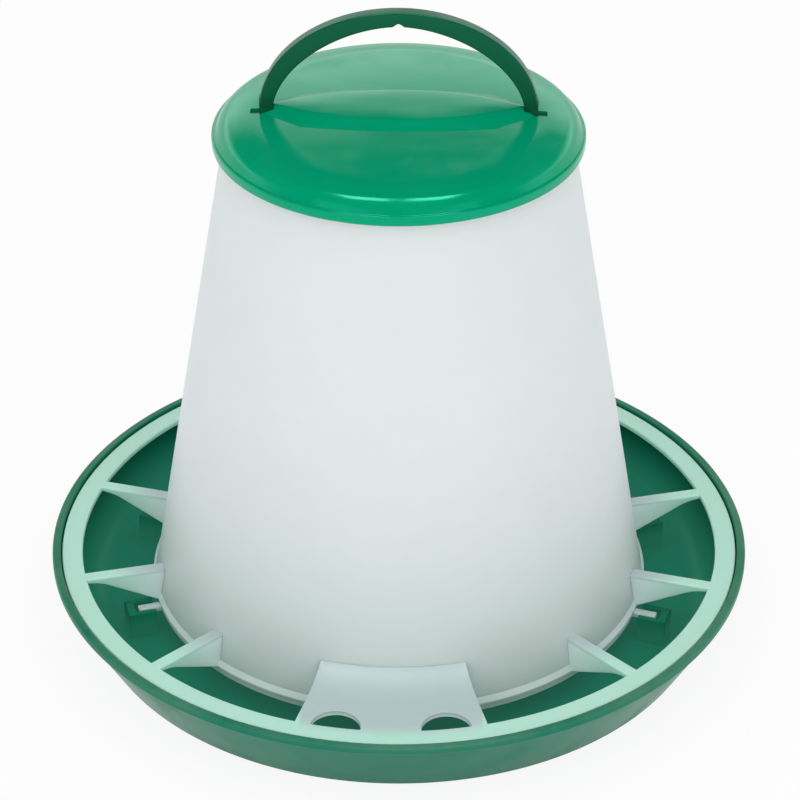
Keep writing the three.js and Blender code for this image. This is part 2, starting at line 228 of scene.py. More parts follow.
class HandleSettings(bpy.types.PropertyGroup):
    """Sizes and colours of the handle."""

    span: length("Span", "Width across the legs", 118.4)
    rise: length("Rise", "Height of the arch", 45.7)
    strap: length("Strap", "Thickness of the strap at its feet", 5.8)
    crown: length("Crown", "Thickness of the strap at its crown", 6.4)
    depth: length("Depth", "Depth of the strap", (HANDLE_HIGH.y - HANDLE_LOW.y) / MM)
    arch_power: number("Arch power", "Fullness of the outer arch", 2.0)
    haunch_power: number("Haunch power", "Fullness of the inner arch", 1.78)
    foot_depth: length("Foot depth", "Depth of the strap at its feet", 4.4)
    foot_taper: length("Foot taper", "Height over which the feet get thin", 7)
    edge_round: length("Edge rounding", "Rounding of the strap's edges", 0.9)
    notch_width: length("Notch width", "Width of the hanging notch", 5)
    notch_depth: length("Notch depth", "Depth of the hanging notch", 1.6)
    clip_depth: length("Clip depth", "Depth of the clips along Y", 4.2)
    clip_reach: length("Clip reach", "How far the clips hook outwards", 3.2)
    clip_height: length("Clip height", "Height of the clips", 2.6)
    slack: length("Slack", "Room round a leg in its slot", 0.4)
    # Painted shade: the handle's green is a darker copy of the lid's, for the shade on its upright faces.
    colour: colour("Colour", "Darker green of the handle", 0.006, 0.088, 0.038)
    # Partly painted: the top of the arch pales towards this colour, for rubbed wear and for painted light
    # on the upward face.
    worn: colour("Worn colour", "Paler green of rubbed edges", 0.03, 0.22, 0.14)
    roughness: rough(0.3)


class StageSettings(bpy.types.PropertyGroup):
    """Sizes, levels and colours of the studio and the camera."""

    camera_place: FloatVectorProperty(
        name="Camera place", description="Where the camera stands", unit="LENGTH",
        default=(0.0256, -1.1045, 0.7964),
    )
    camera_tilt: angle("Camera tilt", "Tilt of the camera up from straight down", 57.994)
    camera_turn: angle("Camera turn", "Turn of the camera about the upright", 1.3)
    camera_lens: number("Lens", "Focal length in millimetres", 129.99)
    floor_size: length("Floor size", "Side of the square floor", 14000)
    floor_colour: colour("Floor colour", "Near white of the floor", 0.93, 0.93, 0.93)
    floor_glow: share("Floor glow", "Share of plain white in the floor", 0.88)
    sky_level: number("Sky level", "Light that falls from all round", 0.84)
    window_level: number("Window level", "Brightness of the overhead windows", 13)
    lamp_watts: number("Lamp power", "Power of each front lamp", 3)
    top_watts: number("Top lamp power", "Power of the lamp overhead", 2)


def clear_selection():
    """Leaves edit mode and selects nothing."""
    if bpy.context.object and bpy.context.object.mode != "OBJECT":
        bpy.ops.object.mode_set(mode="OBJECT")
    bpy.ops.object.select_all(action="DESELECT")


def pick(piece):
    """Makes a piece the only selected and the active one."""
    clear_selection()
    piece.select_set(True)
    bpy.context.view_layer.objects.active = piece


def select_by(piece, test, kind="verts"):
    """In edit mode, selects the vertices, edges or faces of a piece that pass a test."""
    bpy.ops.mesh.select_all(action="DESELECT")
    shape = bmesh.from_edit_mesh(piece.data)
    for part in getattr(shape, kind):
        if test(part):
            part.select_set(True)
    shape.select_flush_mode()
    bmesh.update_edit_mesh(piece.data)


def select_between(piece, low, high):
    """In edit mode, selects the edges of a piece that lie between two heights."""
    select_by(piece, lambda edge: all(low - MERGE < v.co.z < high + MERGE for v in edge.verts), "edges")


def settle(piece):
    """Leaves edit mode and puts a piece's place, turn and scale into its mesh."""
    bpy.ops.object.mode_set(mode="OBJECT")
    pick(piece)
    bpy.ops.object.transform_apply(location=True, rotation=True, scale=True)
    return piece


def weld():
    """In edit mode, merges the vertices that lie on one another."""
    bpy.ops.mesh.select_all(action="SELECT")
    bpy.ops.mesh.remove_doubles(threshold=MERGE)


def face_outward():
    """In edit mode, turns every face outward."""
    bpy.ops.mesh.select_all(action="SELECT")
    bpy.ops.mesh.normals_make_consistent(inside=False)


def draw_line(points):
    """In edit mode, one vertex extruded from point to point in space."""
    clear_selection()
    bpy.ops.mesh.primitive_plane_add(size=OVERRUN, location=(0, 0, 0))
    bpy.ops.object.mode_set(mode="EDIT")
    bpy.ops.mesh.merge(type="CENTER")
    bpy.ops.transform.translate(value=points[0])
    for before, after in zip(points, points[1:]):
        step = tuple(b - a for a, b in zip(before, after))
        bpy.ops.mesh.extrude_region_move(TRANSFORM_OT_translate={"value": step})
    weld()
    return bpy.context.object


def outline(corners, closed=True, depth=0.0):
    """In edit mode, the line through corners (across, up, perhaps a rounding), at a depth along Y."""
    points = [(corner[0], depth, corner[1]) for corner in corners]
    piece = draw_line(points + points[:1] if closed else points)
    rounded = [corner for corner in corners if len(corner) > 2]
    for rounding in sorted({corner[2] for corner in rounded}):
        places = [corner for corner in rounded if corner[2] == rounding]

        def at_corner(vertex):
            return any(math.hypot(vertex.co.x - p[0], vertex.co.z - p[1]) < MERGE for p in places)

        select_by(piece, at_corner)
        bpy.ops.mesh.bevel(
            offset=rounding, offset_type="OFFSET", segments=ROUND_STEPS, affect="VERTICES",
            clamp_overlap=False,
        )
    bpy.ops.mesh.select_all(action="SELECT")
    return piece


def turned(corners, closed=False):
    """A solid spun round the Z axis from its corners. An open line starts and ends on the axis."""
    piece = outline(corners, closed)
    bpy.ops.mesh.spin(steps=TURN_STEPS, angle=2 * math.pi, center=(0, 0, 0), axis=(0, 0, 1))
    weld()
    face_outward()
    return settle(piece)


def plate(corners, thickness, rounding):
    """A side outline filled and extruded along Y, centred on it, with its sharp edges rounded."""
    piece = outline(corners, depth=-thickness / 2)
    bpy.ops.mesh.edge_face_add()
    bpy.ops.mesh.extrude_region_move(TRANSFORM_OT_translate={"value": (0, thickness, 0)})
    face_outward()
    soften(rounding)
    return settle(piece)


def soften(rounding, sharper_than=SHARP_ANGLE):
    """In edit mode, bevels every edge that is sharper than an angle."""
    bpy.ops.mesh.select_mode(type="EDGE")
    bpy.ops.mesh.select_all(action="DESELECT")
    bpy.ops.mesh.edges_select_sharp(sharpness=sharper_than)
    bpy.ops.mesh.bevel(
        offset=rounding, offset_type="OFFSET", segments=EDGE_STEPS, affect="EDGES", clamp_overlap=True
    )
    bpy.ops.mesh.select_mode(type="VERT")


def block(low, high, rounding=0.0):
    """A cube stretched between two corners, with its edges rounded."""
    low, high = Vector(low), Vector(high)
    clear_selection()
    bpy.ops.mesh.primitive_cube_add(size=1, location=(low + high) / 2, scale=high - low)
    piece = bpy.context.object
    bpy.ops.object.transform_apply(location=True, rotation=True, scale=True)
    if rounding:
        bpy.ops.object.mode_set(mode="EDIT")
        soften(rounding)
    return settle(piece)


def spread(piece, turns):
    """Copies of a piece, each with its own mesh, turned about the Z axis. The piece itself goes."""
    copies = []
    for turn in turns:
        pick(piece)
        bpy.ops.object.duplicate(linked=False)
        copies.append(bpy.context.object)
        copies[-1].rotation_euler.z = turn
        bpy.ops.object.transform_apply(location=False, rotation=True, scale=False)
    bpy.data.objects.remove(piece)
    return copies


def combine(piece, tools, operation):
    """Joins tools to a piece or cuts them from it, and removes them."""
    for tool in tools:
        pick(piece)
        bpy.ops.object.modifier_add(type="BOOLEAN")
        modifier = piece.modifiers[-1]
        modifier.operation = operation
        modifier.solver = "EXACT"
        modifier.object = tool
        bpy.ops.object.modifier_apply(modifier=modifier.name)
        bpy.data.objects.remove(tool)
    return piece


def finish_piece(piece, name, material, node, body):
    """Smooths a piece, gives it its material and ties it to the frame."""
    if not piece.data.polygons:
        raise RuntimeError(f"{name} came out empty")
    pick(piece)
    piece.name = name
    bpy.ops.object.shade_smooth_by_angle(angle=SMOOTH_ANGLE)
    bpy.ops.object.modifier_add(type="WEIGHTED_NORMAL")
    piece.modifiers[-1].keep_sharp = True
    bpy.ops.object.modifier_apply(modifier=piece.modifiers[-1].name)
    piece.data.materials.clear()
    piece.data.materials.append(material)
    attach(piece, body)
    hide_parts(node)


class Wire:
    """A shader socket that can be used in Python sums."""

    def __init__(self, graph, socket):
        self.graph = graph
        self.socket = socket

    def math(self, operation, other=0.0, swapped=False):
        """Joins this wire to another or to a number through a Math node."""
        pair = (other, self) if swapped else (self, other)
        return self.graph.node("ShaderNodeMath", {"operation": operation}, {0: pair[0], 1: pair[1]})

    def __add__(self, other):
        return self.math("ADD", other)

    __radd__ = __add__

    def __mul__(self, other):
        return self.math("MULTIPLY", other)

    __rmul__ = __mul__

    def __sub__(self, other):
        return self.math("SUBTRACT", other)

    def __rsub__(self, other):
        return self.math("SUBTRACT", other, swapped=True)

    def __pow__(self, other):
        return self.math("POWER", other)


class Graph:
    """The node tree of one material or of the world."""

    def __init__(self, tree):
        self.tree = tree
        tree.nodes.clear()

    def node(self, kind, settings=None, inputs=None, output=0):
        """Adds a node, sets its settings, fills or links its sockets and gives one of its outputs."""
        made = self.tree.nodes.new(kind)
        for name, value in (settings or {}).items():
            setattr(made, name, value)
        for name, value in (inputs or {}).items():
            if isinstance(value, Wire):
                self.tree.links.new(value.socket, made.inputs[name])
            else:
                made.inputs[name].default_value = value
        return Wire(self, made.outputs[output]) if len(made.outputs) else made

    def parts(self, vector):
        """The three parts of a vector."""
        return [self.node("ShaderNodeSeparateXYZ", inputs={0: vector}, output=axis) for axis in range(3)]

    def ray(self, kind):
        """One for the rays of a kind, such as Camera or Glossy, and nought for the others."""
        return self.node("ShaderNodeLightPath", output=f"Is {kind} Ray")

    def noise(self, vector, per_metre, detail=2.0, roughness=0.5):
        """Soft noise about nought, with so many swells to a metre."""
        inputs = {"Vector": vector, "Scale": per_metre, "Detail": detail, "Roughness": roughness}
        return self.node("ShaderNodeTexNoise", inputs=inputs) - 0.5

    def ramp(self, value, start, end):
        """A smooth rise from nought to one between two values."""
        inputs = {"Value": value, "From Min": start, "From Max": end}
        return self.node("ShaderNodeMapRange", {"interpolation_type": "SMOOTHSTEP"}, inputs)

    def mix(self, factor, first, second):
        """A colour between two colours."""
        inputs = {0: factor, 6: opaque(first), 7: opaque(second)}
        return self.node("ShaderNodeMix", {"data_type": "RGBA"}, inputs, output=2)

    def stretched(self, vector, scale):
        """The place on the object stretched along the axes."""
        return self.node("ShaderNodeMapping", inputs={"Vector": vector, "Scale": scale})


def opaque(value):
    """A colour with its alpha, or a wire as it is."""
    return value if isinstance(value, Wire) else (*tuple(value)[:3], 1.0)


def moulded_plastic(name, piece, tint, wear, worn, cloud=0.06, glow=None, sockets=None):
    """Moulded plastic: cloudy colour, rubbed edges, hairline scuffs, smudged gloss and a fine skin.

    tint is a colour, or a function of the graph and the place that makes one. wear says in the same
    way where edges are rubbed to the worn colour; on the pan's rim band and the handle's crown that
    worn colour is also painted reflection and painted light. glow says where painted light is added
    as an emission, though the piece is no lamp.
    sockets are constants of the surface shader.
    """
    material = bpy.data.materials.new(name)
    material.use_nodes = True
    graph = Graph(material.node_tree)
    vector = graph.node("ShaderNodeTexCoord", output="Object")
    x, y, z = graph.parts(vector)
    place = (x, z, (x * x + y * y) ** 0.5)
    clouds = graph.noise(vector, 22, 3) * 1.6 + graph.noise(vector, 140, 2) * 0.5
    streaks = graph.noise(graph.stretched(vector, (60, 900, 500)), 1, 3, 0.6)
    cross_streaks = graph.noise(graph.stretched(vector, (800, 50, 420)), 1, 3, 0.6)
    scuffs = graph.ramp(streaks, 0.22, 0.3) + graph.ramp(cross_streaks, 0.23, 0.31)
    smudges = graph.ramp(graph.noise(vector, 34, 4, 0.62), -0.08, 0.2)
    skin = graph.noise(vector, 1400, 2) * (0.010 * MM) + graph.noise(vector, 45, 1) * (0.10 * MM)
    rubbed = wear(graph, *place) * (0.6 + clouds)
    plain = tint(graph, *place) if callable(tint) else tint
    shade = graph.mix(0.6, plain, (0, 0, 0))
    clouded = graph.mix(clouds * cloud * 2 + cloud, plain, shade)
    scuffed = graph.mix(scuffs * 0.10, clouded, worn)
    inputs = {
        "Base Color": graph.mix(rubbed, scuffed, worn),
        "Roughness": smudges * 0.10 + scuffs * 0.12 + rubbed * 0.1 + piece.roughness,
        "Normal": graph.node("ShaderNodeBump", inputs={"Strength": 1.0, "Distance": 1.0, "Height": skin}),
        "IOR": PLASTIC_IOR,
        **(sockets or {}),
    }
    if glow:
        inputs.update({"Emission Color": glow(graph, *place), "Emission Strength": 1.0})
    surface = graph.node("ShaderNodeBsdfPrincipled", inputs=inputs)
    graph.node("ShaderNodeOutputMaterial", inputs={"Surface": surface})
    return material


def hopper_radius_at(hopper, z):
    """Outer radius of the hopper's wall at a height."""
    part = (z - HOPPER_LOW.z) / (HOPPER_HIGH.z - HOPPER_LOW.z)
    return hopper.foot_radius + (hopper.top_radius - hopper.foot_radius) * part


def pan_radius_at(pan, z):
    """Outer radius of the pan's sloping wall at a height."""
    part = z / (pan.height - pan.band_height)
    return pan.radius - pan.lean + (pan.lean - pan.band_step) * part


def lug_turns(hopper):
    """The turns of the four lugs and forks, alike about both upright planes."""
    turn = hopper.lug_angle
    return [turn, math.pi - turn, math.pi + turn, -turn]


class FEEDER_OT_pan(bpy.types.Operator):
    """Models the pan: dish, rim, ledge, foot ring, spreading cone and four forked posts"""

    bl_idname = "feeder.make_pan"
    bl_label = "Make Pan"

    def execute(self, context):
        pan = context.scene.feeder_pan
        hopper = context.scene.feeder_hopper
        grid = context.scene.feeder_grid
        floor_z = pan.foot_height + pan.wall
        band_z = pan.height - pan.band_height
        ledge_z = grid.ring_top - grid.ring_thickness - SEAT_GAP
        ledge_under = ledge_z - pan.ledge_thickness
        wall_top = ledge_under - pan.wall
        inner = pan.radius - pan.rim_width
        base = pan.radius - pan.lean
        foot_inner = base - pan.foot_width
        ledge_inner = inner - pan.ledge_width
        cone_top = PAN_HIGH.z
        tip_drop = 3 * MM
        cone_round = 6 * MM
        foot_round = 1.6 * MM
        edge = 0.9 * MM
        dish = turned([
            (0, cone_top - pan.wall),
            (pan.cone_tip - pan.wall / 2, cone_top - tip_drop - pan.wall, tip_drop),
            (pan.cone_radius - pan.wall, pan.foot_height, cone_round),
            (foot_inner, pan.foot_height, edge),
            (foot_inner, 0, edge / 2),
            (base, 0, foot_round),
            (pan_radius_at(pan, band_z), band_z, edge / 3),
            (pan.radius, band_z, edge),
            (pan.radius, pan.height, edge),
            (inner, pan.height, edge),
            (inner, ledge_z, edge / 3),
            (ledge_inner, ledge_z, edge / 2),
            (ledge_inner, ledge_under, edge / 2),
            (pan_radius_at(pan, wall_top) - pan.wall, wall_top, edge),
            (pan_radius_at(pan, floor_z) - pan.wall, floor_z, pan.floor_round),
            (pan.cone_radius, floor_z, cone_round),
            (pan.cone_tip, cone_top - tip_drop, tip_drop),
            (0, cone_top),
        ])
        fork = self.make_fork(pan, hopper, floor_z)
        combine(dish, spread(fork, lug_turns(hopper)), "UNION")
        slope = (pan_radius_at(pan, band_z) - base) / band_z
        blend = 0.2 * MM
        rim_low = pan.height - 1.4 * MM

        # Mask of the dish's inner surface, which gets the painted shade and the painted glow.
        def inside(graph, z, radius):
            return graph.ramp(z * slope + (base - pan.wall / 2) - radius, 0.0, blend)

        # The whole rim band greys towards the worn colour: rubbed wear and painted reflection.
        def wear(graph, x, z, radius):
            band = graph.ramp(z, band_z - blend, band_z) + graph.ramp(z, rim_low, pan.height)
            return band * graph.ramp(radius, inner, inner + edge) * 0.3

        # Painted shade: the dish's inside takes the darker green, the outside the lighter one.
        def tint(graph, x, z, radius):
            return graph.mix(inside(graph, z, radius), pan.outer_colour, pan.colour)

        # Painted light: an emission on the low inside of the dish, fading out upwards.
        def glow(graph, x, z, radius):
            low = 1 - graph.ramp(z, floor_z + 2 * MM, ledge_under - 4 * MM)
            return graph.mix(inside(graph, z, radius) * low, (0, 0, 0), pan.glow)

        sockets = {**GREEN_GLOSS, "Specular IOR Level": 0.12}
        material = moulded_plastic("pan plastic", pan, tint, wear, pan.worn, glow=glow, sockets=sockets)
        finish_piece(dish, "pan_moulding", material, "feed_pan", "pan")
        return {"FINISHED"}

    def make_fork(self, pan, hopper, floor_z):
        """Two cheeks and an end wall, with the seat of a lug between them, drawn out along X."""
        inner_x = hopper.foot_radius + pan.fork_inset
        outer_x = inner_x + pan.fork_length
        half = hopper.lug_width / 2 + pan.fork_slack
        outer_half = half + pan.fork_cheek
        seat_half = half + pan.fork_cheek / 2
        seat_z = HOPPER_LOW.z - SEAT_GAP
        seat_under = seat_z - pan.fork_cheek
        top_z = HOPPER_LOW.z + hopper.lug_height + 0.6 * MM
        bottom_z = floor_z - pan.wall / 2
        lug_end = hopper.foot_radius + hopper.lug_reach + pan.fork_slack
        edge = 0.5 * MM
        step = edge / 3
        corners = [
            ((inner_x, half, bottom_z), (outer_x, outer_half, top_z)),
            ((inner_x, -outer_half, bottom_z), (outer_x, -half, top_z)),
            ((inner_x + edge, -seat_half, seat_under), (outer_x - edge, seat_half, seat_z)),
            ((lug_end, -seat_half, bottom_z + step), (outer_x - step, seat_half, top_z - step)),
        ]
        fork, *others = [block(low, high, edge) for low, high in corners]
        return combine(fork, others, "UNION")


class FEEDER_OT_hopper(bpy.types.Operator):
    """Models the hopper: conical tube with a bead at its mouth and four lugs at its foot"""

    bl_idname = "feeder.make_hopper"
    bl_label = "Make Hopper"

    def execute(self, context):
        hopper = context.scene.feeder_hopper
        foot_z, top_z = HOPPER_LOW.z, HOPPER_HIGH.z
        bead_z = top_z - hopper.bead_height
        bead_radius = hopper.top_radius + hopper.bead_width
        edge = 0.5 * MM
        tube = turned([
            (hopper.foot_radius - hopper.wall, foot_z, edge),
            (hopper.foot_radius, foot_z, edge),
            (hopper_radius_at(hopper, bead_z), bead_z),
            (bead_radius, bead_z + edge, edge / 2),
            (bead_radius, top_z, edge),
            (hopper.top_radius - hopper.wall, top_z, edge),
        ], closed=True)
        half = hopper.lug_width / 2
        low = (hopper.foot_radius - hopper.wall, -half, foot_z)
        high = (hopper.foot_radius + hopper.lug_reach, half, foot_z + hopper.lug_height)
        lug = block(low, high, 0.6 * MM)
        combine(tube, spread(lug, lug_turns(hopper)), "UNION")

        def wear(graph, x, z, radius):
            return graph.ramp(z, foot_z + 2 * MM, foot_z) * 0.2

        # Painted shade: darker and greener from the foot up to the blend height, with a random sway.
        def tint(graph, x, z, radius):
            sway = graph.noise(graph.node("ShaderNodeTexCoord", output="Object"), 9, 1) * 0.03
            height = graph.ramp(z + sway, foot_z, hopper.blend_top)
            return graph.mix(height, hopper.painted_shade_colour, hopper.colour)

        sockets = {"Subsurface Weight": 0.25, "Subsurface Scale": 0.3}
        sockets["Subsurface Radius"] = (0.03, 0.035, 0.035)
        material = moulded_plastic(
            "hopper plastic", hopper, tint, wear, hopper.colour, PALE_CLOUD, sockets=sockets
        )
        finish_piece(tube, "hopper_moulding", material, "hopper", "hopper")
        return {"FINISHED"}


class FEEDER_OT_grid(bpy.types.Operator):
    """Models the grid: ring, fins, two tongues with their half-ovals, and the hub"""

    bl_idname = "feeder.make_grid"
    bl_label = "Make Grid"

    def execute(self, context):
        grid = context.scene.feeder_grid
        hopper = context.scene.feeder_hopper
        ring_low = grid.ring_top - grid.ring_thickness
        ring_inner = grid.radius - grid.ring_width
        hub_low = GRID_LOW.z
        hub_radius = hopper_radius_at(hopper, hub_low) + grid.hub_gap + grid.hub_width
        root = hopper.top_radius
        edge = 0.8 * MM
        ring = turned([
            (ring_inner, ring_low, edge / 2),
            (grid.radius, ring_low, edge),
            (grid.radius, grid.ring_top, edge),
            (ring_inner, grid.ring_top, edge),
        ], closed=True)
        hub_top = hub_low + grid.hub_height
        body = turned([
            (root, hub_low),
            (hub_radius, hub_low, edge / 2),
            (hub_radius, hub_low + grid.hub_height / 3),
            (hopper_radius_at(hopper, hub_top) + grid.hub_gap, hub_top),
            (root, hub_top),
        ], closed=True)
        ring_middle = ring_inner + grid.ring_width / 2
        fin = plate([
            (root, grid.ring_top - MERGE),
            (root, hub_low),
            (hub_radius, hub_low),
            (ring_inner - grid.fin_knee, ring_low - edge, 3 * MM),
            (ring_inner, ring_low + MERGE),
            (ring_middle, ring_low + MERGE),
            (ring_middle, grid.ring_top - MERGE),
        ], grid.fin_thickness, edge)
        step = 2 * math.pi / grid.fin_count
        fins = spread(fin, [step * (index + 0.5) for index in range(grid.fin_count)])
        tongue = self.make_tongue(grid, hopper, ring_inner, step, edge)
        tongues = spread(tongue, (math.pi / 2, -math.pi / 2))
        combine(body, fins + tongues + [ring], "UNION")
        room = turned([
            (0, HOPPER_LOW.z),
            (hopper.foot_radius + grid.hub_gap, HOPPER_LOW.z),
            (hopper.top_radius + grid.hub_gap, HOPPER_HIGH.z),
            (0, HOPPER_HIGH.z),
        ])
        combine(body, [room], "DIFFERENCE")
        tongue_half = ring_inner * math.sin(step / 2)

        def wear(graph, x, z, radius):
            rim = graph.ramp(radius, ring_inner, grid.radius)
            return graph.ramp(z, grid.ring_top - edge, grid.ring_top) * rim * 0.2

        # Painted light and shade: mint at the ring for green light from the pan, paler fin sides, greyer
        # tops near the hopper.
        def tint(graph, x, z, radius):
            top = graph.ramp(z, grid.ring_top - 2 * MM, grid.ring_top - edge / 4)
            painted_side_light_and_root_shade = graph.mix(top, grid.painted_light_side_colour, grid.painted_shade_root_colour)
            on_fin = graph.ramp(radius, hub_radius, ring_inner - 6 * MM)
            on_tongue = graph.ramp(radius, ring_inner - 4 * MM, ring_inner + 6 * MM)
            beside = 1 - graph.ramp(x.math("ABSOLUTE"), tongue_half, tongue_half + 2 * MM)
            return graph.mix(on_fin + (on_tongue - on_fin) * beside, painted_side_light_and_root_shade, grid.colour)

        sockets = {"Subsurface Weight": 0.2, "Subsurface Scale": 0.2}
        sockets["Subsurface Radius"] = (0.02, 0.03, 0.026)
        material = moulded_plastic(
            "grid plastic", grid, tint, wear, grid.colour, PALE_CLOUD, sockets=sockets
        )
        finish_piece(body, "grid_moulding", material, "feed_grid", "hopper")
        return {"FINISHED"}

    def make_tongue(self, grid, hopper, ring_inner, step, edge):
        """One tongue along X: a plate over two fins, ramped up to the hopper, less two half-ovals."""
        top = grid.ring_top - 2 * MERGE
        ramp_start = ring_inner - grid.oval_depth
        ramp_length = hopper_radius_at(hopper, grid.ring_top) - ramp_start
        ramp_steps = 12
        line = [(ring_inner + 2 * edge, top)]
        for index in range(ramp_steps + 1):
            part = index / ramp_steps
            line.append((ramp_start + ramp_length * part, top + grid.tongue_rise * part ** 3))
        line.append((hopper.top_radius, top + grid.tongue_rise))
        under = [(across, up - grid.tongue_thickness) for across, up in reversed(line)]
        web = outline(line + under)
        web_turn = 1.3 * step
        bpy.ops.mesh.spin(steps=26, angle=web_turn, center=(0, 0, 0), axis=(0, 0, 1))
        bpy.ops.mesh.select_all(action="SELECT")
        bpy.ops.mesh.fill_holes(sides=0)
        face_outward()
        settle(web)
        on_left = sum((vertex.co.y for vertex in web.data.vertices), 0.0) > 0
        web.rotation_euler.z = -web_turn / 2 if on_left else web_turn / 2
        bpy.ops.object.transform_apply(location=False, rotation=True, scale=False)
        bpy.ops.object.mode_set(mode="EDIT")
        for side in (1, -1):
            outward = Vector((-math.sin(step / 2), side * math.cos(step / 2), 0))
            bpy.ops.mesh.select_all(action="SELECT")
            bpy.ops.mesh.bisect(
                plane_co=outward * grid.fin_thickness / 2, plane_no=outward, use_fill=True,
                clear_outer=True,
            )
        soften(edge, math.radians(60))
        settle(web)
        neck_turn = math.asin(grid.neck_width / 2 / ring_inner)
        fin_turn = step / 2 - math.asin(grid.fin_thickness / 2 / ring_inner)
        half_width = ring_inner * math.sin((fin_turn - neck_turn) / 2) * grid.oval_share
        clear_selection()
        bpy.ops.mesh.primitive_cylinder_add(
            vertices=96, radius=1, depth=1, location=(ring_inner, 0, grid.ring_top),
            scale=(grid.oval_depth, half_width, 60 * MM),
        )
        oval = settle(bpy.context.object)
        turn = (neck_turn + fin_turn) / 2
        return combine(web, spread(oval, (turn, -turn)), "DIFFERENCE")


def dome_height(lid, radius):
    """Height of the lid's gently domed top at a radius."""
    side_top = lid.radius - lid.flange_width - lid.side_lean
    shoulder = side_top - lid.shoulder_width
    return lid.top_height - lid.dome_drop * (radius / shoulder) ** 2


def arc_height(across, end, end_height, middle_height):
    """Height of a shallow arc at a place across, highest in the middle."""
    rise = middle_height - end_height
    radius = (end ** 2 + rise ** 2) / (2 * rise)
    return middle_height - radius + math.sqrt(max(0, radius ** 2 - across ** 2))


def arch(half_span, rise, power, steps=40):
    """Points of half an arch, from its foot to its crown."""
    points = []
    for index in range(steps + 1):
        turn = math.pi / 2 * index / steps
        points.append((half_span * math.cos(turn) ** (2 / power), rise * math.sin(turn) ** (2 / power)))
    return points


